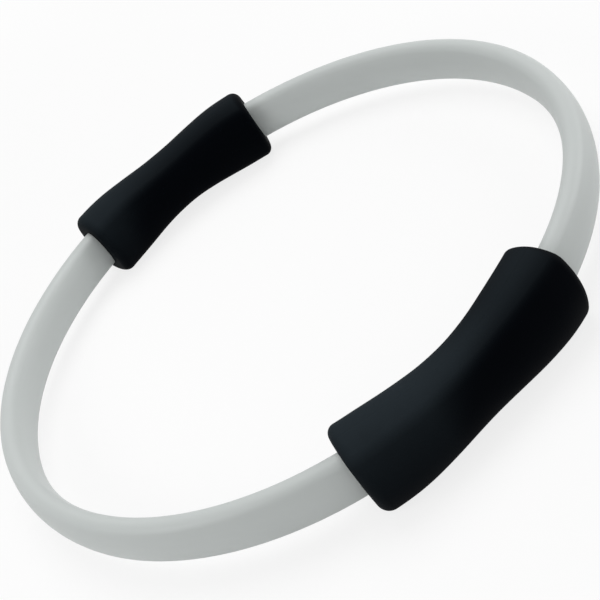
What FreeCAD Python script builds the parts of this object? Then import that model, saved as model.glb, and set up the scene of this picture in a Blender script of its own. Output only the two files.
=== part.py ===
import FreeCAD, Part
import math
import os

Vector = FreeCAD.Vector

# Ring: a round grey sleeve on two fibreglass leaves, in millimetres and degrees
ring_outer_diameter = 380.0
sleeve_width = 27.8
sleeve_thickness = 15.7
sleeve_corner_radius = 6.0
sleeve_crown_angle = 23.0

# Fibreglass leaves, an inner and an outer one on each side of the ring
leaf_width = 18.0
leaf_thickness = 2.2
leaf_gap = 0.4
leaf_corner_radius = 4.0
leaf_end_distance = 5.0
leaf_slip = 3.0

# Grip pads: foam walls around the clamp, thin at the waist, full at the ends, crowned all round
grip_length = 138.0
grip_lean_angle = 3.19
waist_side_wall = 5.4
end_side_wall = 9.3
waist_outer_wall = 8.2
end_outer_wall = 13.1
waist_inner_wall = 13.3
end_inner_wall = 13.9
side_flare_length = 57.0
face_flare_length = 67.0
pad_corner_radius = 10.0
pad_crown_angle = 24.0
pad_end_radius = 6.0
pad_fan_share = 0.62
flare_steps = 12
rest_flat_depth = 0.5

# Clamp inside each grip, with its screws, washers and nuts
sleeve_seat_depth = 17.8
screw_to_leaf_end = 11.0
screw_to_clamp_end = 12.0
screw_diameter = 4.0
screw_head_diameter = 7.0
screw_head_height = 2.4
screw_head_rounding = 0.6
screw_socket_across_flats = 2.5
screw_socket_depth = 1.4
screw_tip_length = 0.3
washer_diameter = 9.0
washer_thickness = 0.8
nut_across_flats = 7.0
nut_height = 3.2
nut_chamfer = 0.4
fastener_sink = 0.6

# Clearances, and the largest share of a wall that a rounding takes
running_gap = 0.3
fastener_gap = 0.15
sleeve_end_gap = 0.5
cutter_overrun = 1.0
rounding_limit = 0.96

# Sizes that follow from the driving dimensions
ring_radius = (ring_outer_diameter - sleeve_thickness) / 2
grip_angle = 90.0 - grip_lean_angle
stack_half = leaf_gap / 2 + leaf_thickness
clamp_half = sleeve_thickness / 2
washer_seat = clamp_half - fastener_sink - screw_head_height - washer_thickness
nut_seat = clamp_half - fastener_sink - nut_height
waist_width = sleeve_width + 2 * waist_side_wall
end_width = sleeve_width + 2 * end_side_wall
end_radius = min(pad_end_radius, rounding_limit * pad_corner_radius)
clamp_half_length = grip_length / 2 - sleeve_seat_depth
inner_screw = leaf_end_distance + screw_to_leaf_end
outer_screw = clamp_half_length - screw_to_clamp_end
screw_places = (-outer_screw, -inner_screw, inner_screw, outer_screw)


def arc_angle(length):
    return math.degrees(length / ring_radius)


def turned(shape, angle):
    copy = shape.copy()
    copy.rotate(Vector(0, 0, 0), Vector(0, 0, 1), angle)
    return copy


# Cross-sections: face, corner and side arcs, each tangent to the next

def quarter_points(depth, half_width, corner, crown):
    tilt = math.radians(crown)
    rise = math.sin(tilt)
    fall = 1 - math.cos(tilt)
    reach = depth - corner
    height = half_width - corner
    face_offset = (height * rise - reach * fall) / (rise * rise - fall * fall)
    side_offset = (reach * rise - height * fall) / (rise * rise - fall * fall)
    side_radius = side_offset + corner
    centre = (side_offset * rise, face_offset * rise)
    middle = math.pi / 4
    return {
        "face": (depth, 0.0),
        "face_end": (centre[0] + corner * math.cos(tilt), centre[1] + corner * rise),
        "corner": (centre[0] + corner * math.cos(middle), centre[1] + corner * math.sin(middle)),
        "side_end": (centre[0] + corner * rise, centre[1] + corner * math.cos(tilt)),
        "side": (
            side_radius * math.sin(tilt / 2),
            half_width - side_radius * (1 - math.cos(tilt / 2)),
        ),
        "top": (0.0, half_width),
    }


def section_wire(outer_depth, inner_depth, width, corner, crown):
    outer = quarter_points(outer_depth, width / 2, corner, crown)
    inner = quarter_points(inner_depth, width / 2, corner, crown)

    def place(quarter, name, out, up):
        depth, height = quarter[name]
        return Vector(ring_radius + out * depth, 0, up * height)

    def arc(quarter, names, out, ups):
        points = [place(quarter, name, out, up) for name, up in zip(names, ups)]
        return Part.Arc(*points).toShape()

    face = ("face_end", "face", "face_end")
    corner_up = ("face_end", "corner", "side_end")
    side_up = ("side_end", "side", "top")
    edges = [
        arc(outer, face, 1, (-1, 1, 1)),
        arc(outer, corner_up, 1, (1, 1, 1)),
        arc(outer, side_up, 1, (1, 1, 1)),
        arc(inner, side_up[::-1], -1, (1, 1, 1)),
        arc(inner, corner_up[::-1], -1, (1, 1, 1)),
        arc(inner, face, -1, (1, 1, -1)),
        arc(inner, corner_up, -1, (-1, -1, -1)),
        arc(inner, side_up, -1, (-1, -1, -1)),
        arc(outer, side_up[::-1], 1, (-1, -1, -1)),
        arc(outer, corner_up[::-1], 1, (-1, -1, -1)),
    ]
    return Part.Wire(edges)


def largest_corner(depth, half_width, crown):
    tilt = math.radians(crown)
    rise = math.sin(tilt)
    fall = 1 - math.cos(tilt)
    return (depth * rise - half_width * fall) / (rise - fall)


def sleeve_wire(gap):
    depth = clamp_half + gap
    limit = largest_corner(clamp_half, sleeve_width / 2, sleeve_crown_angle)
    corner = min(sleeve_corner_radius, rounding_limit * limit) + gap
    return section_wire(depth, depth, sleeve_width + 2 * gap, corner, sleeve_crown_angle)


def slot_wire(inner_half, outer_half, half_width):
    inside = ring_radius - inner_half
    outside = ring_radius + outer_half
    corners = [
        Vector(inside, 0, -half_width),
        Vector(outside, 0, -half_width),
        Vector(outside, 0, half_width),
        Vector(inside, 0, half_width),
    ]
    return Part.makePolygon(corners + corners[:1])


def swept(wires, start, end):
    face = Part.makeFace(wires, "Part::FaceMakerBullseye")
    bar = face.revolve(Vector(0, 0, 0), Vector(0, 0, 1), end - start)
    return turned(bar, start)


# Radial cutters and pins, built along +X and turned to their place on the ring

def radial_pin(diameter, start, end):
    base = Vector(ring_radius + start, 0, 0)
    return Part.makeCylinder(diameter / 2, end - start, base, Vector(1, 0, 0))


def radial_hexagon(across_flats, start, end):
    corner_radius = across_flats / math.sqrt(3)
    corners = []
    for side in range(7):
        angle = math.radians(60 * side)
        corners.append(Vector(
            ring_radius + start,
            corner_radius * math.cos(angle),
            corner_radius * math.sin(angle),
        ))
    face = Part.Face(Part.makePolygon(corners))
    return face.extrude(Vector(end - start, 0, 0))


def radial_slot(diameter, slip, start, end):
    ends = []
    for shift in (-slip / 2, slip / 2):
        pin = radial_pin(diameter, start, end)
        pin.translate(Vector(0, shift, 0))
        ends.append(pin)
    corner = Vector(ring_radius + start, -slip / 2, -diameter / 2)
    middle = Part.makeBox(end - start, slip, diameter, corner)
    return ends[0].fuse([ends[1], middle])


# Grip pieces, built around +X

def flared(waist, end, station, flare_length):
    share = min(abs(station) / flare_length, 1.0)
    return waist + (end - waist) * (1 - math.cos(math.pi * share)) / 2


# A pad section stands on the ring's centre line and turns by a share of the ring's own angle
def fanned(wire, angle):
    copy = wire.copy()
    copy.rotate(Vector(ring_radius, 0, 0), Vector(0, 0, 1), pad_fan_share * angle)
    along = math.radians(angle)
    copy.translate(Vector(math.cos(along) - 1, math.sin(along), 0) * ring_radius)
    return copy


def pad_form():
    wires = []
    for step in range(flare_steps + 1):
        station = grip_length * (step / flare_steps - 0.5)
        wire = section_wire(
            clamp_half + flared(waist_outer_wall, end_outer_wall, station, face_flare_length),
            clamp_half + flared(waist_inner_wall, end_inner_wall, station, face_flare_length),
            flared(waist_width, end_width, station, side_flare_length),
            pad_corner_radius,
            pad_crown_angle,
        )
        wires.append(fanned(wire, arc_angle(station)))
    form = Part.makeLoft(wires, True, False)
    rims = []
    for face in form.Faces:
        if isinstance(face.Surface, Part.Plane):
            rims.extend(face.Edges)
    form = form.makeFillet(end_radius, rims)
    rest_height = end_width - 2 * rest_flat_depth
    reach = 2 * ring_outer_diameter
    slab = Part.makeBox(reach, reach, rest_height, Vector(-reach / 2, -reach / 2, -rest_height / 2))
    return form.common(slab)


def pads():
    half_clamp = arc_angle(clamp_half_length)
    past_end = arc_angle(grip_length)
    form = pad_form()
    form = form.cut(swept([sleeve_wire(0)], -half_clamp, half_clamp))
    form = form.cut(swept([sleeve_wire(running_gap)], half_clamp, past_end))
    form = form.cut(swept([sleeve_wire(running_gap)], -past_end, -half_clamp))
    drum = Part.makeCylinder(ring_radius, 2 * end_width, Vector(0, 0, -end_width))
    return form.cut(drum), form.common(drum)


def clamps():
    half_clamp = arc_angle(clamp_half_length)
    channel_half = stack_half + running_gap
    channel = slot_wire(channel_half, channel_half, leaf_width / 2 + running_gap)
    block = swept([sleeve_wire(0), channel], -half_clamp, half_clamp)
    drum = Part.makeCylinder(ring_radius, 2 * sleeve_width, Vector(0, 0, -sleeve_width))
    outer_half = block.cut(drum)
    inner_half = block.common(drum)
    outside = clamp_half + cutter_overrun
    hole_diameter = screw_diameter + 2 * fastener_gap
    for place in screw_places:
        angle = arc_angle(place)
        hole = turned(radial_pin(hole_diameter, -outside, outside), angle)
        recess = radial_pin(washer_diameter + 2 * fastener_gap, washer_seat, outside)
        pocket = radial_hexagon(nut_across_flats + 2 * fastener_gap, -outside, -nut_seat)
        outer_half = outer_half.cut([hole, turned(recess, angle)])
        inner_half = inner_half.cut([hole, turned(pocket, angle)])
    return outer_half, inner_half


def screw():
    head_seat = washer_seat + washer_thickness
    head_top = head_seat + screw_head_height
    tip = -nut_seat - nut_height - screw_tip_length
    shank = radial_pin(screw_diameter, tip, head_seat)
    head = radial_pin(screw_head_diameter, head_seat, head_top)
    rims = sorted((edge for edge in head.Edges if edge.Closed), key=lambda edge: edge.CenterOfMass.x)
    head = head.makeFillet(screw_head_rounding, rims[-1:])
    socket_floor = head_top - screw_socket_depth
    socket = radial_hexagon(screw_socket_across_flats, socket_floor, head_top + cutter_overrun)
    return shank.fuse(head).removeSplitter().cut(socket)


def washer():
    ring = radial_pin(washer_diameter, washer_seat, washer_seat + washer_thickness)
    return ring.cut(radial_pin(screw_diameter + 2 * fastener_gap, -clamp_half, clamp_half))


def nut():
    low = -nut_seat - nut_height
    blank = radial_hexagon(nut_across_flats, low, -nut_seat)
    envelope = radial_pin(2 * nut_across_flats / math.sqrt(3), low, -nut_seat)
    rims = [edge for edge in envelope.Edges if edge.Closed]
    body = blank.common(envelope.makeChamfer(nut_chamfer, rims))
    return body.cut(radial_pin(screw_diameter, -clamp_half, clamp_half))


def grouped(piece):
    return Part.makeCompound([turned(piece, arc_angle(place)) for place in screw_places])


def grip_pieces():
    outer_pad, inner_pad = pads()
    outer_clamp, inner_clamp = clamps()
    return {
        "outer_pad": outer_pad,
        "inner_pad": inner_pad,
        "outer_clamp": outer_clamp,
        "inner_clamp": inner_clamp,
        "screws": grouped(screw()),
        "washers": grouped(washer()),
        "nuts": grouped(nut()),
    }


# Side pieces, from one grip round to the other

def leaf(inside, outside, start, end, round_end):
    wire = slot_wire(-inside, outside, leaf_width / 2)
    strip = swept([wire], start, end)
    thickness = outside - inside
    corners = [edge for edge in strip.Edges if abs(edge.Length - thickness) < 1e-6]
    strip = strip.makeFillet(min(leaf_corner_radius, rounding_limit * leaf_width / 2), corners)
    hole_diameter = screw_diameter + 2 * running_gap
    low = inside - cutter_overrun
    high = outside + cutter_overrun
    ends = {"start": (start, 1), "end": (end, -1)}
    for name, (edge, inward) in ends.items():
        for place in (inner_screw, outer_screw):
            angle = edge + inward * arc_angle(place - leaf_end_distance)
            if name == round_end:
                cutter = radial_pin(hole_diameter, low, high)
            else:
                cutter = radial_slot(hole_diameter, leaf_slip, low, high)
            strip = strip.cut(turned(cutter, angle))
    return strip


def side_pieces(start_grip, end_grip, near_end, far_end):
    start = start_grip + arc_angle(clamp_half_length + sleeve_end_gap)
    end = end_grip - arc_angle(clamp_half_length + sleeve_end_gap)
    bore = slot_wire(stack_half, stack_half + running_gap, leaf_width / 2 + running_gap)
    leaf_start = start_grip + arc_angle(leaf_end_distance)
    leaf_end = end_grip - arc_angle(leaf_end_distance)
    return {
        "sleeve": swept([sleeve_wire(0), bore], start, end),
        "inner_leaf": leaf(-stack_half, -leaf_gap / 2, leaf_start, leaf_end, near_end),
        "outer_leaf": leaf(leaf_gap / 2, stack_half, leaf_start, leaf_end, far_end),
    }


def export(name, shape):
    shape.exportStep("parts/" + name + ".step")
    print(name, len(shape.Solids), "solids", round(shape.Volume / 1000, 2), "cm3", shape.isValid())


os.makedirs("parts", exist_ok=True)
one_grip = grip_pieces()
for grip, angle in (("near", -grip_angle), ("far", grip_angle)):
    for name, piece in one_grip.items():
        export(grip + "_" + name, turned(piece, angle))
sides = {
    "right": side_pieces(-grip_angle, grip_angle, "start", "end"),
    "left": side_pieces(grip_angle, 360 - grip_angle, "end", "start"),
}
for side, pieces in sides.items():
    for name, piece in pieces.items():
        export(side + "_" + name, piece)
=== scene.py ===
import math

import bmesh
import bpy
import numpy as np
from mathutils import Matrix, Quaternion, Vector, noise


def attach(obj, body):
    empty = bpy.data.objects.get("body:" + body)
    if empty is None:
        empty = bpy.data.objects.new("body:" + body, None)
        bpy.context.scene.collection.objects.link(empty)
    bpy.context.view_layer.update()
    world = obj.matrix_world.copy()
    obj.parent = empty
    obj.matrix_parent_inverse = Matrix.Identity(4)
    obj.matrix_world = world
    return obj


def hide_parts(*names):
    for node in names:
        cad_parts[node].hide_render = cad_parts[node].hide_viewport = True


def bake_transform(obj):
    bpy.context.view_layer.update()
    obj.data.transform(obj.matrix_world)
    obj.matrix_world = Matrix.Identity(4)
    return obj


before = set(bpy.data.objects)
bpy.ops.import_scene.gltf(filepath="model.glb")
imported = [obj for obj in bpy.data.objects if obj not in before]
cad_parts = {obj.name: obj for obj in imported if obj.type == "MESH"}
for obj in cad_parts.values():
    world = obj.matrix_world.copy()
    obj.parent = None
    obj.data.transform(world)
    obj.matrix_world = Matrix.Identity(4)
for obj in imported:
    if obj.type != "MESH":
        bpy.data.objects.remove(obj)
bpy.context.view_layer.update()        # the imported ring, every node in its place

scene = bpy.context.scene
scene.view_settings.view_transform = "Standard"

# the whole ring, in metres and degrees
ring = {
    "radius": 0.18215,         # centre line of the grey band
    "gripAngle": 86.81,        # each grip's middle, either side of the x axis
    "gripLength": 0.1380,
    "clampHalf": 0.0512,       # half the stiff block inside a grip
    "floorHeight": -0.0227,    # the pads stand here
}


def arcDegrees(length):
    return math.degrees(length / ring["radius"])


# camera, as the photo was taken
photoShot = {
    "target": (-0.00621, -0.03484, 0.0),
    "azimuth": -99.55,         # from +x round to the camera
    "elevation": 33.07,
    "distance": 0.7673,
    "roll": -36.89,
    "lens": 84.0,
    "sensor": 36.0,
}


def placeCamera(shot):
    turn = math.radians(shot["azimuth"])
    lift = math.radians(shot["elevation"])
    back = Vector((
        math.cos(lift) * math.cos(turn),
        math.cos(lift) * math.sin(turn),
        math.sin(lift),
    ))
    lens = bpy.data.cameras.new("photoCamera")
    lens.lens = shot["lens"]
    lens.sensor_width = shot["sensor"]
    camera = bpy.data.objects.new("photoCamera", lens)
    scene.collection.objects.link(camera)
    camera.location = Vector(shot["target"]) + back * shot["distance"]
    camera.rotation_mode = "QUATERNION"
    level = (-back).to_track_quat("-Z", "Y")
    camera.rotation_quaternion = level @ Quaternion((0, 0, 1), math.radians(shot["roll"]))
    scene.camera = camera


placeCamera(photoShot)
print("camera placed")


# a socket of a node tree: sums and products of sockets add Math nodes
class Sock:
    def __init__(self, tree, socket=None):
        self.tree = tree
        self.socket = socket

    def make(self, kind, settings=None, inputs=None, output=0):
        node = self.tree.nodes.new(kind)
        for name, value in (settings or {}).items():
            setattr(node, name, value)
        for name, value in (inputs or {}).items():
            for one in value if isinstance(value, list) else [value]:
                if isinstance(one, Sock):
                    self.tree.links.new(one.socket, node.inputs[name])
                else:
                    node.inputs[name].default_value = one
        return Sock(self.tree, node.outputs[output] if node.outputs else None)

    def out(self, name):
        return Sock(self.tree, self.socket.node.outputs[name])

    def maths(self, operation, *values):
        return self.make("ShaderNodeMath", {"operation": operation}, dict(enumerate(values)))

    def __add__(self, other):
        return self.maths("ADD", self, other)

    def __radd__(self, other):
        return self.maths("ADD", other, self)

    def __sub__(self, other):
        return self.maths("SUBTRACT", self, other)

    def __rsub__(self, other):
        return self.maths("SUBTRACT", other, self)

    def __mul__(self, other):
        return self.maths("MULTIPLY", self, other)

    def __rmul__(self, other):
        return self.maths("MULTIPLY", other, self)

    def __truediv__(self, other):
        return self.maths("DIVIDE", self, other)

    def __rtruediv__(self, other):
        return self.maths("DIVIDE", other, self)

    def __pow__(self, other):
        return self.maths("POWER", self, other)

    def __abs__(self):
        return self.maths("ABSOLUTE", self)

    def __lt__(self, other):
        return self.maths("LESS_THAN", self, other)

    def __gt__(self, other):
        return self.maths("GREATER_THAN", self, other)


# finishes: in each look, tone, dulling and relief say how much of every grain goes in
def newFinish(name):
    material = bpy.data.materials.new(name)
    material.use_nodes = True
    material.node_tree.nodes.clear()
    return material, Sock(material.node_tree)


def closeFinish(sock, surface):
    sock.make("ShaderNodeOutputMaterial", None, {"Surface": surface})


def objectPlace(sock):
    return sock.make("ShaderNodeTexCoord", output="Object")


# the same all along the ring, so that a grain on it becomes lines that run round
def acrossRing(sock, place):
    split = sock.make("ShaderNodeSeparateXYZ", None, {"Vector": place}, "X")
    across = (split * split + split.out("Y") * split.out("Y")) ** 0.5
    return sock.make("ShaderNodeCombineXYZ", None, {
        "X": across, "Y": split.out("Z"), "Z": 0.0,
    })


def grain(sock, place, size, detail, rough=0.5):
    return sock.make("ShaderNodeTexNoise", None, {
        "Vector": place, "Scale": 1.0 / size, "Detail": detail, "Roughness": rough,
    }, "Fac")


def addUp(grains, shares):
    return sum(grains[name] * share for name, share in shares.items())


# by socket number, because a Mix node has sockets of the same name for every data type
def mixColour(sock, share, first, second):
    settings = {"data_type": "RGBA"}
    return sock.make("ShaderNodeMix", settings, {0: share, 6: first, 7: second}, 2)


# from the look's colour to its shade by tone, rougher and uneven by its grains
def dressFinish(sock, look, grains, tone):
    relief = sock.make("ShaderNodeBump", None, {
        "Strength": look["bump"],
        "Distance": look["bumpHeight"],
        "Height": addUp(grains, look["relief"]),
    })
    closeFinish(sock, sock.make("ShaderNodeBsdfPrincipled", None, {
        "Base Color": mixColour(sock, tone, look["colour"], look["shade"]),
        "Roughness": look["roughness"] + addUp(grains, look["dulling"]),
        "Metallic": look["metallic"],
        "Specular IOR Level": look["specular"],
        "Normal": relief,
    }))


def bandFoamFinish():
    look = {
        "colour": (0.548, 0.578, 0.568, 1.0),
        "shade": (0.510, 0.540, 0.531, 1.0),
        "roughness": 0.40,
        "metallic": 0.0,
        "specular": 0.40,
        "drawn": {"size": 0.0022, "detail": 3.0},      # faint lines, left by drawing the tube
        "cloud": {"size": 0.028, "detail": 3.0},
        "skin": {"size": 0.00055, "detail": 2.0},
        "tone": {"cloud": 0.55, "drawn": 0.25, "skin": 0.20},
        "dulling": {"cloud": 0.08, "skin": 0.06},
        "relief": {"skin": 0.7, "drawn": 0.3},
        "bump": 0.35,
        "bumpHeight": 0.00004,
    }
    material, sock = newFinish("greyBandFoam")
    place = objectPlace(sock)
    grains = {
        "drawn": grain(sock, acrossRing(sock, place), **look["drawn"]),
        "cloud": grain(sock, place, **look["cloud"]),
        "skin": grain(sock, place, **look["skin"]),
    }
    dressFinish(sock, look, grains, addUp(grains, look["tone"]))
    return material


def padFoamFinish():
    look = {
        "colour": (0.0004, 0.0009, 0.0018, 1.0),
        "shade": (0.0162, 0.0219, 0.0264, 1.0),        # painted highlight on what faces up
        "roughness": 0.48,
        "metallic": 0.0,
        "specular": 0.016,
        "cloud": {"size": 0.016, "detail": 3.0},
        "skin": {"size": 0.0009, "detail": 2.0},
        "pebbleSize": 0.0011,
        "pebbleSmooth": 0.6,
        "evenPaintedLight": 0.75,
        "tone": {"cloud": 0.3, "skin": 0.2},           # on top of the even painted highlight
        "dulling": {"cloud": 0.14, "skin": 0.10, "paintedLightTone": 0.08},
        "relief": {"pebble": 0.6, "skin": 0.4},
        "bump": 0.5,
        "bumpHeight": 0.00007,
    }
    material, sock = newFinish("blackPadFoam")
    place = objectPlace(sock)
    grains = {
        "cloud": grain(sock, place, **look["cloud"]),
        "skin": grain(sock, place, **look["skin"]),
        "pebble": sock.make("ShaderNodeTexVoronoi", {"feature": "SMOOTH_F1"}, {
            "Vector": place,
            "Scale": 1.0 / look["pebbleSize"],
            "Smoothness": look["pebbleSmooth"],
        }, "Distance"),
    }
    # painted highlight and shade: a point attribute lightens the black foam where it faces up, as
    # if lit from above
    bloom = sock.make("ShaderNodeAttribute", {"attribute_name": "bloom"}, None, "Fac")
    grains["paintedLightTone"] = bloom * (addUp(grains, look["tone"]) + look["evenPaintedLight"])
    dressFinish(sock, look, grains, grains["paintedLightTone"])
    return material


def clampPlasticFinish():
    look = {
        "colour": (0.030, 0.031, 0.033, 1.0),
        "shade": (0.060, 0.060, 0.062, 1.0),           # scuffed
        "roughness": 0.42,
        "metallic": 0.0,
        "specular": 0.5,
        "spark": {"size": 0.0007, "detail": 3.0},      # spark-eroded mould texture
        "flow": {"size": 0.012, "detail": 2.0},
        "tone": {"spark": 0.4, "flow": 0.4},
        "dulling": {"flow": 0.2},
        "relief": {"spark": 1.0},
        "bump": 0.6,
        "bumpHeight": 0.00005,
    }
    material, sock = newFinish("clampPlastic")
    place = objectPlace(sock)
    grains = {
        "spark": grain(sock, place, **look["spark"]),
        "flow": grain(sock, place, **look["flow"]),
    }
    dressFinish(sock, look, grains, addUp(grains, look["tone"]))
    return material


def leafGlassFinish():
    look = {
        "colour": (0.46, 0.47, 0.33, 1.0),             # resin
        "shade": (0.66, 0.66, 0.55, 1.0),              # glass
        "roughness": 0.20,
        "metallic": 0.0,
        "specular": 0.5,
        "fibre": {"size": 0.0006, "detail": 4.0, "rough": 0.65},       # strands along the leaf
        "cloud": {"size": 0.020, "detail": 2.0},
        "tone": {"fibre": 0.8, "cloud": 0.2},
        "dulling": {"cloud": 0.2},
        "relief": {"fibre": 1.0},
        "bump": 0.3,
        "bumpHeight": 0.00003,
    }
    material, sock = newFinish("leafFibreglass")
    place = objectPlace(sock)
    grains = {
        "fibre": grain(sock, acrossRing(sock, place), **look["fibre"]),
        "cloud": grain(sock, place, **look["cloud"]),
    }
    dressFinish(sock, look, grains, addUp(grains, look["tone"]))
    return material


def fastenerSteelFinish():
    look = {
        "colour": (0.62, 0.63, 0.65, 1.0),
        "shade": (0.46, 0.47, 0.49, 1.0),              # dulled
        "roughness": 0.175,
        "metallic": 1.0,
        "specular": 0.5,
        "plate": {"size": 0.0012, "detail": 4.0},      # zinc plating
        "stain": {"size": 0.006, "detail": 2.0},
        "tone": {"stain": 0.6, "plate": 0.4},
        "dulling": {"stain": 0.25},
        "relief": {"plate": 1.0},
        "bump": 0.2,
        "bumpHeight": 0.00002,
    }
    material, sock = newFinish("fastenerSteel")
    place = objectPlace(sock)
    grains = {
        "plate": grain(sock, place, **look["plate"]),
        "stain": grain(sock, place, **look["stain"]),
    }
    dressFinish(sock, look, grains, addUp(grains, look["tone"]))
    return material


finishes = {
    "sleeve_foam": bandFoamFinish(),
    "pad_foam": padFoamFinish(),
    "clamp_plastic": clampPlasticFinish(),
    "leaf_fibreglass": leafGlassFinish(),
    "fastener_steel": fastenerSteelFinish(),
}
print("finishes made:", len(finishes))

weldGap = 1e-7           # points nearer than this become one


# smooth faces, sharp only past the given angle
def finishMesh(mesh, sharpAngle):
    shell = bmesh.new()
    shell.from_mesh(mesh)
    bmesh.ops.remove_doubles(shell, verts=shell.verts, dist=weldGap)
    bmesh.ops.recalc_face_normals(shell, faces=shell.faces)
    shell.to_mesh(mesh)
    shell.free()
    mesh.shade_smooth()
    mesh.set_sharp_from_angle(angle=math.radians(sharpAngle))


def wearFinish(mesh, slotName):
    mesh.materials.clear()
    mesh.materials.append(finishes[slotName])


def showPiece(name, mesh, slotName):
    piece = bpy.data.objects.new(name, mesh)
    scene.collection.objects.link(piece)
    wearFinish(mesh, slotName)
    return piece


# grey band: a foam tube over the leaves, drawn round an arc
band = {
    "thickness": 0.0157,
    "width": 0.0278,
    "corner": 0.0060,
    "crown": 23.0,             # how far the faces bow, in degrees
    "boreHalf": 0.00255,
    "boreShift": 0.00015,
    "boreWidth": 0.0186,
    "endGap": 0.0005,
    "bendStart": 0.0740,       # this far from a grip's middle the band begins to flex
    "bendShare": 0.97,         # the flex is all there just before the halves meet
    "meetGap": 0.00001,        # hairline left on each half where they meet
    "swell": 0.006,            # share by which the section grows and shrinks along the way
    "swellSize": 0.045,
    "stepsAlong": 150,
    "stepsAround": 129,
    "capSteps": 4,
    "weldGap": 0.000002,
    "sharpAngle": 40,
}


# an oval section of face, side and corner arcs that run smoothly into each other
def sectionRule(depth, halfWidth, corner, crown):
    tilt = math.radians(crown)
    rise = math.sin(tilt)
    fall = 1 - math.cos(tilt)
    base = rise * rise - fall * fall
    faceOffset = ((halfWidth - corner) * rise - (depth - corner) * fall) / base
    sideOffset = ((depth - corner) * rise - (halfWidth - corner) * fall) / base
    return {
        "rise": rise,
        "corner": corner,
        "cornerCentre": (sideOffset * rise, faceOffset * rise),
        "faceRadius": faceOffset + corner,
        "faceCentre": depth - faceOffset - corner,
        "sideRadius": sideOffset + corner,
        "sideCentre": halfWidth - sideOffset - corner,
    }


def bandTree():
    tree = bpy.data.node_groups.new("greyBand", "GeometryNodeTree")
    tree.interface.new_socket("Geometry", in_out="OUTPUT", socket_type="NodeSocketGeometry")
    sizes = (
        "Ring Radius", "Start Angle", "Sweep Angle", "Rise", "Corner Radius", "Corner Across",
        "Corner Up", "Face Radius", "Face Centre", "Side Radius", "Side Centre", "Bore Half",
        "Bore Shift", "Bore Width", "Swell", "Swell Size", "Weld Gap",
    )
    for name in sizes:
        tree.interface.new_socket(name, in_out="INPUT", socket_type="NodeSocketFloat")
    for name in ("Steps Along", "Steps Around", "Cap Steps"):
        tree.interface.new_socket(name, in_out="INPUT", socket_type="NodeSocketInt")
    tree.interface.new_socket("Finish", in_out="INPUT", socket_type="NodeSocketMaterial")
    given = Sock(tree, tree.nodes.new("NodeGroupInput").outputs[0])

    def place(angle, across, up):
        reach = given.out("Ring Radius") + across
        return given.make("ShaderNodeCombineXYZ", None, {
            "X": reach * given.maths("COSINE", angle),
            "Y": reach * given.maths("SINE", angle),
            "Z": up,
        })

    # skin from face, corner and side arcs; bore as a flat slot; depth runs from one to the other
    def bandPoint(around, along, depth):
        normal = around * (2 * math.pi)
        cosine = given.maths("COSINE", normal)
        sine = given.maths("SINE", normal)
        outward = abs(cosine)
        upward = abs(sine)
        onFace = upward < given.out("Rise")
        onSide = outward < given.out("Rise")
        onCorner = 1 - onFace - onSide
        radius = (
            onFace * given.out("Face Radius")
            + onSide * given.out("Side Radius")
            + onCorner * given.out("Corner Radius")
        )
        centreAcross = onFace * given.out("Face Centre") + onCorner * given.out("Corner Across")
        centreUp = onSide * given.out("Side Centre") + onCorner * given.out("Corner Up")
        across = given.maths("SIGN", cosine) * (centreAcross + radius * outward)
        up = given.maths("SIGN", sine) * (centreUp + radius * upward)
        angle = given.out("Start Angle") + given.out("Sweep Angle") * along
        wave = given.make("ShaderNodeTexNoise", None, {
            "Vector": place(angle, across, up),
            "Scale": 1 / given.out("Swell Size"),
            "Detail": 1.0,
        }, "Fac")
        swell = 1 + (wave - 0.5) * 2 * given.out("Swell")
        slot = given.maths(
            "MAXIMUM",
            outward / given.out("Bore Half"),
            upward / given.out("Bore Width") * 2,
        )
        boreAcross = given.out("Bore Shift") + cosine / slot
        boreUp = sine / slot
        return place(
            angle,
            across * swell * (1 - depth) + boreAcross * depth,
            up * swell * (1 - depth) + boreUp * depth,
        )

    def patch(rows, route):
        grid = given.make("GeometryNodeMeshGrid", None, {
            "Size X": 1.0,
            "Size Y": 1.0,
            "Vertices X": given.out("Steps Around"),
            "Vertices Y": rows,
        }, "Mesh")
        share = given.make("ShaderNodeSeparateXYZ", None, {"Vector": grid.out("UV Map")}, "X")
        point = bandPoint(*route(share, share.out("Y")))
        return given.make("GeometryNodeSetPosition", None, {"Geometry": grid, "Position": point})

    # skin, bore and the two end faces
    patches = [
        patch(given.out("Steps Along"), lambda around, row: (around, row, row * 0.0)),
        patch(given.out("Steps Along"), lambda around, row: (around, row, row * 0.0 + 1.0)),
        patch(given.out("Cap Steps"), lambda around, row: (around, row * 0.0, row)),
        patch(given.out("Cap Steps"), lambda around, row: (around, row * 0.0 + 1.0, row)),
    ]
    joined = given.make("GeometryNodeJoinGeometry", None, {"Geometry": patches})
    welded = given.make("GeometryNodeMergeByDistance", None, {
        "Geometry": joined, "Distance": given.out("Weld Gap"),
    })
    plain = given.make("GeometryNodeRealizeInstances", None, {"Geometry": welded})
    finished = given.make("GeometryNodeSetMaterial", None, {
        "Geometry": plain, "Material": given.out("Finish"),
    })
    given.make("NodeGroupOutput", None, {"Geometry": finished})
    return tree


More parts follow.
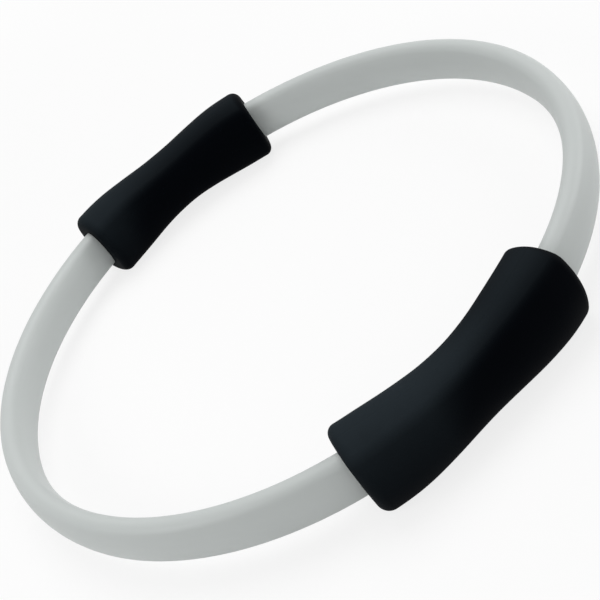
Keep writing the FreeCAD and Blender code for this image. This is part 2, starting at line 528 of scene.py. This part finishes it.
def bandHalf(name, tree, startAngle, endAngle):
    rule = sectionRule(band["thickness"] / 2, band["width"] / 2, band["corner"], band["crown"])
    values = {
        "Ring Radius": ring["radius"],
        "Start Angle": math.radians(startAngle),
        "Sweep Angle": math.radians(endAngle - startAngle),
        "Rise": rule["rise"],
        "Corner Radius": rule["corner"],
        "Corner Across": rule["cornerCentre"][0],
        "Corner Up": rule["cornerCentre"][1],
        "Face Radius": rule["faceRadius"],
        "Face Centre": rule["faceCentre"],
        "Side Radius": rule["sideRadius"],
        "Side Centre": rule["sideCentre"],
        "Bore Half": band["boreHalf"],
        "Bore Shift": band["boreShift"],
        "Bore Width": band["boreWidth"],
        "Swell": band["swell"],
        "Swell Size": band["swellSize"],
        "Weld Gap": band["weldGap"],
        "Steps Along": band["stepsAlong"],
        "Steps Around": band["stepsAround"],
        "Cap Steps": band["capSteps"],
        "Finish": finishes["sleeve_foam"],
    }
    piece = showPiece(name, bpy.data.meshes.new(name), "sleeve_foam")
    nodes = piece.modifiers.new("greyBand", "NODES")
    nodes.node_group = tree
    for item in tree.interface.items_tree:
        if item.in_out == "INPUT":
            nodes[item.identifier] = values[item.name]
    graph = bpy.context.evaluated_depsgraph_get()
    mesh = bpy.data.meshes.new_from_object(piece.evaluated_get(graph))
    piece.modifiers.remove(nodes)
    piece.data = mesh
    finishMesh(mesh, band["sharpAngle"])
    return piece


# each side's middle, the way round from there to the far grip, and how far off a grip's middle is
sides = {
    "left": {"middle": 180.0, "turn": -1.0, "toGrip": 180.0 - ring["gripAngle"]},
    "right": {"middle": 0.0, "turn": 1.0, "toGrip": ring["gripAngle"]},
}
halves = {
    "near": {"grip": "near_grip", "spring": "inner_spring", "way": -1.0},
    "far": {"grip": "far_grip", "spring": "outer_spring", "way": 1.0},
}


# bakes the piece's placement into its mesh; the way round and reach it works out go unused
def bendHalf(piece, side, half):
    arc = sides[side]
    way = arc["turn"] * halves[half]["way"]
    reach = arc["toGrip"] - arcDegrees(band["bendStart"])
    side + "_" + halves[half]["spring"]
    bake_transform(piece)


def makeBand():
    tree = bandTree()
    for side, arc in sides.items():
        reach = arc["toGrip"] - arcDegrees(ring["clampHalf"] + band["endGap"])
        for half, rule in halves.items():
            name = side + "Band" + half.capitalize()
            way = arc["turn"] * rule["way"]
            first = arc["middle"] + way * arcDegrees(band["meetGap"])
            piece = bandHalf(name, tree, first, arc["middle"] + way * reach)
            bendHalf(piece, side, half)
            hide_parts(side + "_sleeve")
            print(name, len(piece.data.polygons), "faces")


makeBand()
print("grey band made")


# leaves inside the band, from their own solids, cut where the band's halves meet
leafStrip = {
    "weldGap": 1e-6,
    "sharpAngle": 30,
}


def leafHalf(name, node, side, half):
    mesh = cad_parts[node].data.copy()
    if "custom_normal" in mesh.attributes:
        mesh.attributes.remove(mesh.attributes["custom_normal"])
    strip = bmesh.new()
    strip.from_mesh(mesh)
    bmesh.ops.remove_doubles(strip, verts=strip.verts, dist=leafStrip["weldGap"])
    cut = bmesh.ops.bisect_plane(
        strip,
        geom=strip.verts[:] + strip.edges[:] + strip.faces[:],
        plane_co=(0, halves[half]["way"] * band["meetGap"], 0),
        plane_no=(0, -halves[half]["way"], 0),
        clear_outer=True,
    )
    rim = [item for item in cut["geom_cut"] if isinstance(item, bmesh.types.BMEdge)]
    bmesh.ops.edgeloop_fill(strip, edges=rim)
    strip.to_mesh(mesh)
    strip.free()
    finishMesh(mesh, leafStrip["sharpAngle"])
    piece = showPiece(name, mesh, "leaf_fibreglass")
    bendHalf(piece, side, half)
    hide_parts(node)


def makeLeaves():
    for side in sides:
        for leaf in ("inner", "outer"):
            for half in halves:
                name = side + leaf.capitalize() + "Leaf" + half.capitalize()
                leafHalf(name, side + "_" + leaf + "_leaf", side, half)


makeLeaves()
print("leaves made")


# grip pads: two moulded foam halves round each clamp, full at the ends, slim at the waist
pad = {
    "waistOuter": 0.01605,
    "endOuter": 0.02095,
    "waistInner": 0.02115,
    "endInner": 0.02175,
    "waistWidth": 0.0386,
    "endWidth": 0.0464,
    "sideFlare": 0.057,        # how far from the middle the sides reach full width
    "faceFlare": 0.067,
    "fan": 0.62,               # share of the ring's angle that a section turns by
    "corner": 0.0100,
    "crown": 24.0,
    "endRadius": 0.0060,
    "mouthGap": 0.0003,
    "lip": 0.0006,             # rounding of the mouth's edge
    "seamRound": 0.00002,      # rounding along the seam between the halves
    "seamAngle": 88.0,         # the section's arcs stop here, just short of the seam
    "tunnelSeam": 88.8,        # in the tunnel the seam's points reach down to here
    "tunnelAngle": 88.4,       # and its arcs go on from here
    "restSoft": 0.00015,       # how softly the flat under the pad begins
    "uneven": 0.00012,
    "unevenSize": 0.017,
    "calmReach": 0.003,        # the skin evens out this near to the seam
    "flareSteps": 72,
    "endSteps": 16,
    "seamSteps": 5,
    "sideSteps": 8,
    "cornerSteps": 18,
    "faceSteps": 14,
    "slack": 1e-9,             # a section this near to the clamp's end is still on it
    "sharpAngle": 38,
}
# painted light on the pads: lighter where they face up and towards the left ends, darker down the
# sides and towards +x, as if shaded there
padPaintedLight = {
    "shadedFrom": {"near": 0.0447, "far": 0.0220},     # from here on along x, the painted highlight keeps to the tops (painted shade)
    "fade": 0.0644,                              # and over this much before it, it narrows
    "fill": {"near": 1.0, "far": 0.77},
    "shadedFill": 0.58,
    "shadedSteep": 18.4,         # how fast the painted highlight thins out down the sides
    "litSteep": 1.94,
}
gripEnd = ring["gripLength"] / 2
bodyEnd = gripEnd - pad["endRadius"]


def sectionCurve(depth, halfWidth, corner, crown, angles):
    rule = sectionRule(depth, halfWidth, corner, crown)
    cornerAcross, cornerUp = rule["cornerCentre"]
    outward = np.cos(angles)
    upward = np.abs(np.sin(angles))
    onFace = upward < rule["rise"]
    onSide = outward < rule["rise"]
    radius = np.where(onFace, rule["faceRadius"], np.where(onSide, rule["sideRadius"], corner))
    centreAcross = np.where(onFace, rule["faceCentre"], np.where(onSide, 0.0, cornerAcross))
    centreUp = np.where(onFace, 0.0, np.where(onSide, rule["sideCentre"], cornerUp))
    across = centreAcross + radius * outward
    up = np.sign(np.sin(angles)) * (centreUp + radius * upward)
    return across, up


# places along the grip that get a section, closer together at the rounded ends
def padStations():
    turns = np.linspace(0, math.pi / 2, pad["endSteps"] + 1)[1:]
    ends = bodyEnd + pad["endRadius"] * np.sin(turns)
    stepIn = ring["clampHalf"] + pad["mouthGap"]
    middle = np.linspace(-bodyEnd, bodyEnd, pad["flareSteps"] + 1)
    extra = np.array([ring["clampHalf"], stepIn, -ring["clampHalf"], -stepIn])
    return np.sort(np.concatenate([-ends, middle, extra, ends]))


# normal angles of the section's points, from the upper seam over the face to the lower seam
def padAngles():
    crown = pad["crown"]
    upper = np.concatenate([
        np.linspace(pad["seamAngle"], 90 - crown, pad["sideSteps"]),
        np.linspace(90 - crown, crown, pad["cornerSteps"])[1:],
        np.linspace(crown, 0, pad["faceSteps"])[1:],
    ])
    return np.radians(np.concatenate([upper, -upper[-2::-1]]))


def flared(waist, end, station, length):
    share = min(abs(station) / length, 1.0)
    return waist + (end - waist) * (1 - math.cos(math.pi * share)) / 2


def padSection(station, outer, angles):
    past = min(max(abs(station) - bodyEnd, 0.0) / pad["endRadius"], 1.0)
    draw = pad["endRadius"] * (1 - math.sqrt(1 - past * past))
    part = "Outer" if outer else "Inner"
    depth = flared(pad["waist" + part], pad["end" + part], station, pad["faceFlare"]) - draw
    halfWidth = flared(pad["waistWidth"], pad["endWidth"], station, pad["sideFlare"]) / 2 - draw
    across, up = sectionCurve(depth, halfWidth, pad["corner"] - draw, pad["crown"], angles)
    bends = np.linspace(0, math.pi / 2, pad["seamSteps"])
    edgeAcross = pad["seamRound"] * (1 - np.cos(bends))
    edgeUp = halfWidth - pad["seamRound"] * (1 - np.sin(bends))
    across = np.concatenate([edgeAcross, across, edgeAcross[::-1]])
    up = np.concatenate([edgeUp, up, -edgeUp[::-1]])
    return across, up, past


# tight on the clamp, a little wider round the band, rounded at the mouth
def tunnelSection(station, angles):
    gap = pad["mouthGap"] if abs(station) > ring["clampHalf"] + pad["slack"] else 0.0
    fromEnd = max(gripEnd - abs(station), 0.0) / pad["lip"]
    if fromEnd < 1:
        gap += pad["lip"] * (1 - math.sqrt(1 - (1 - fromEnd) ** 2))
    seam = np.radians(np.linspace(90.0, pad["tunnelSeam"], pad["seamSteps"]))
    inner = angles * (pad["tunnelAngle"] / pad["seamAngle"])
    turns = np.concatenate([seam, inner, -seam[::-1]])
    depth = band["thickness"] / 2 + gap
    halfWidth = band["width"] / 2 + gap
    return sectionCurve(depth, halfWidth, band["corner"] + gap, band["crown"], turns)


# centre of a section on the ring, and the way its depth points
def sectionFrame(station):
    turn = station / ring["radius"]
    middle = Vector((math.cos(turn), math.sin(turn), 0.0)) * ring["radius"]
    along = Vector((math.cos(turn * pad["fan"]), math.sin(turn * pad["fan"]), 0.0))
    return middle, along


def skinPoints(station, outer, angles, normals):
    middle, along = sectionFrame(station)
    sign = 1.0 if outer else -1.0
    across, up, past = padSection(station, outer, angles)
    points = []
    for place, height, normal in zip(across, up, normals):
        point = middle + along * (sign * place) + Vector((0, 0, height))
        calm = min(1.0, place / pad["calmReach"]) * (1 - past)     # still at seam and end faces
        wave = noise.noise(point / pad["unevenSize"]) * pad["uneven"] * calm
        point += (along * sign * math.cos(normal) + Vector((0, 0, math.sin(normal)))) * wave
        drop = point.z - ring["floorHeight"]
        point.z = ring["floorHeight"] + (drop + math.hypot(drop, pad["restSoft"])) / 2
        points.append(point)
    return points


# back from the lower seam to the upper one, where the leaning section meets the band's surface
def tunnelPoints(station, outer, angles):
    middle, along = sectionFrame(station)
    sign = 1.0 if outer else -1.0
    across, up = tunnelSection(station, angles)
    lean = middle.dot(along)
    points = []
    for place, height in zip(across[::-1], up[::-1]):
        reach = ring["radius"] + sign * place
        span = math.sqrt(lean * lean - ring["radius"] ** 2 + reach * reach) - lean
        points.append(middle + along * span + Vector((0, 0, height)))
    return points


def padFaces(rows, count):
    loop = 2 * count
    faces = []
    for row in range(rows - 1):
        first = row * loop
        second = first + loop
        for step in range(loop):
            after = (step + 1) % loop
            faces.append((first + step, first + after, second + after, second + step))
    for first in (0, (rows - 1) * loop):       # end faces, from the skin to the mouth
        for step in range(count - 1):
            inside = loop - 1 - step
            faces.append((first + step, first + step + 1, first + inside - 1, first + inside))
    return faces


# painted highlight on what faces up, narrower and fainter towards +x as painted shade
def paintedLightShare(grip, across, upward):
    free = np.clip((padPaintedLight["shadedFrom"][grip] - across) / padPaintedLight["fade"], 0, 1)
    free = free * free * (3 - 2 * free)
    steep = padPaintedLight["shadedSteep"] + (padPaintedLight["litSteep"] - padPaintedLight["shadedSteep"]) * free
    fill = padPaintedLight["shadedFill"] + (1 - padPaintedLight["shadedFill"]) * free
    return padPaintedLight["fill"][grip] * fill * ((1 + upward) / 2) ** steep


# stores the painted light and shade share at every point, for the pad's finish
def layPaintedLight(mesh, grip):
    normals = np.empty(3 * len(mesh.vertices), np.float32)
    mesh.vertex_normals.foreach_get("vector", normals)
    places = np.empty(3 * len(mesh.vertices), np.float32)
    mesh.vertices.foreach_get("co", places)
    paintedLightTone = paintedLightShare(grip, places[0::3], normals[2::3])
    mesh.attributes.new("bloom", "FLOAT", "POINT").data.foreach_set("value", paintedLightTone)


def padMesh(name, grip, gripAngle, outer):
    angles = padAngles()
    stations = padStations()
    seam = np.full(pad["seamSteps"], math.pi / 2)
    normals = np.concatenate([seam, angles, -seam])
    points = []
    for station in stations:
        points += skinPoints(station, outer, angles, normals)
        points += tunnelPoints(station, outer, angles)
    faces = padFaces(len(stations), len(normals))
    mesh = bpy.data.meshes.new(name)
    mesh.from_pydata([tuple(point) for point in points], [], faces)
    mesh.transform(Matrix.Rotation(math.radians(gripAngle), 4, "Z"))
    finishMesh(mesh, pad["sharpAngle"])
    # paints light and shade onto the pad as a point attribute
    layPaintedLight(mesh, grip)
    return mesh


def makePads():
    for grip, angle in (("near", -ring["gripAngle"]), ("far", ring["gripAngle"])):
        for half in ("outer", "inner"):
            name = grip + half.capitalize() + "Pad"
            piece = showPiece(name, padMesh(name, grip, angle, half == "outer"), "pad_foam")
            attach(piece, grip + "_grip")
            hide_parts(grip + "_" + half + "_pad")
            print(name, len(piece.data.polygons), "faces")


makePads()
print("grip pads made")


# clamps and fasteners keep their solids and take the finish of their slot
nodeFinish = {
    "outer_clamp": "clamp_plastic",
    "inner_clamp": "clamp_plastic",
    "screws": "fastener_steel",
    "washers": "fastener_steel",
    "nuts": "fastener_steel",
}


def finishSolids():
    for grip in ("near", "far"):
        for ending, slotName in nodeFinish.items():
            wearFinish(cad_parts[grip + "_" + ending].data, slotName)


finishSolids()
print("clamps and fasteners finished")


# floor and light
plainWhite = (1.0, 1.0, 1.0, 1.0)
studio = {
    "floorSize": 16.0,
    "floorColour": (0.92, 0.92, 0.92, 1.0),
    "paperShade": (0.80, 0.80, 0.80, 1.0),
    "paperShare": 0.06,
    "paper": {"size": 0.004, "detail": 3.0},
    "floorLift": 0.80,         # share of plain white that the camera sees on the floor
    "liftFade": (0.30, 1.10),  # from here outwards it turns all white
    "ambient": 0.30,
}
lamps = {
    "softKey": {"place": (0.30, 0.45, 1.40), "size": 1.2, "power": 12.2},
    "rightFill": {"place": (1.30, -0.10, 0.45), "size": 0.9, "power": 5.7},
    "leftFill": {"place": (-0.66, -0.12, 0.42), "size": 0.4, "power": 1.44},
    "frontFill": {"place": (-0.06, -0.62, 0.22), "size": 0.4, "power": 0.31},
}


# rays that see the background: the camera's, and those mirrored or let through
def backgroundRay(sock):
    path = sock.make("ShaderNodeLightPath", None, None, "Is Camera Ray")
    seen = sock.maths("MAXIMUM", path, path.out("Is Glossy Ray"))
    return sock.maths("MAXIMUM", seen, path.out("Is Transmission Ray"))


def makeFloor():
    half = studio["floorSize"] / 2
    low = ring["floorHeight"]
    mesh = bpy.data.meshes.new("studioFloor")
    corners = [(-half, -half, low), (half, -half, low), (half, half, low), (-half, half, low)]
    mesh.from_pydata(corners, [], [(0, 1, 2, 3)])
    floor = bpy.data.objects.new("studioFloor", mesh)
    scene.collection.objects.link(floor)
    material, sock = newFinish("studioFloor")
    place = objectPlace(sock)
    paper = grain(sock, place, **studio["paper"]) * studio["paperShare"]
    colour = mixColour(sock, paper, studio["floorColour"], studio["paperShade"])
    matte = sock.make("ShaderNodeBsdfDiffuse", None, {"Color": colour})
    white = sock.make("ShaderNodeEmission", None, {"Color": plainWhite, "Strength": 1.0})
    reach = sock.make("ShaderNodeVectorMath", {"operation": "LENGTH"}, {0: place}, "Value")
    share = sock.make("ShaderNodeMapRange", {"interpolation_type": "SMOOTHSTEP"}, {
        "Value": reach,
        "From Min": studio["liftFade"][0],
        "From Max": studio["liftFade"][1],
        "To Min": studio["floorLift"],
        "To Max": 1.0,
    })
    lift = backgroundRay(sock) * share
    closeFinish(sock, sock.make("ShaderNodeMixShader", None, {0: lift, 1: matte, 2: white}))
    mesh.materials.append(material)


def makeLight():
    world = bpy.data.worlds.new("studioLight")
    world.use_nodes = True
    world.node_tree.nodes.clear()
    sock = Sock(world.node_tree)
    strength = studio["ambient"] + backgroundRay(sock) * (1.0 - studio["ambient"])
    glow = sock.make("ShaderNodeBackground", None, {"Color": plainWhite, "Strength": strength})
    sock.make("ShaderNodeOutputWorld", None, {"Surface": glow})
    scene.world = world
    for name, rule in lamps.items():
        light = bpy.data.lights.new(name, "AREA")
        light.shape = "DISK"
        light.size = rule["size"]
        light.energy = rule["power"]
        lamp = bpy.data.objects.new(name, light)
        scene.collection.objects.link(lamp)
        lamp.location = rule["place"]
        lamp.rotation_mode = "QUATERNION"
        lamp.rotation_quaternion = (-Vector(rule["place"])).to_track_quat("-Z", "Y")


makeFloor()
makeLight()
print("studio made")
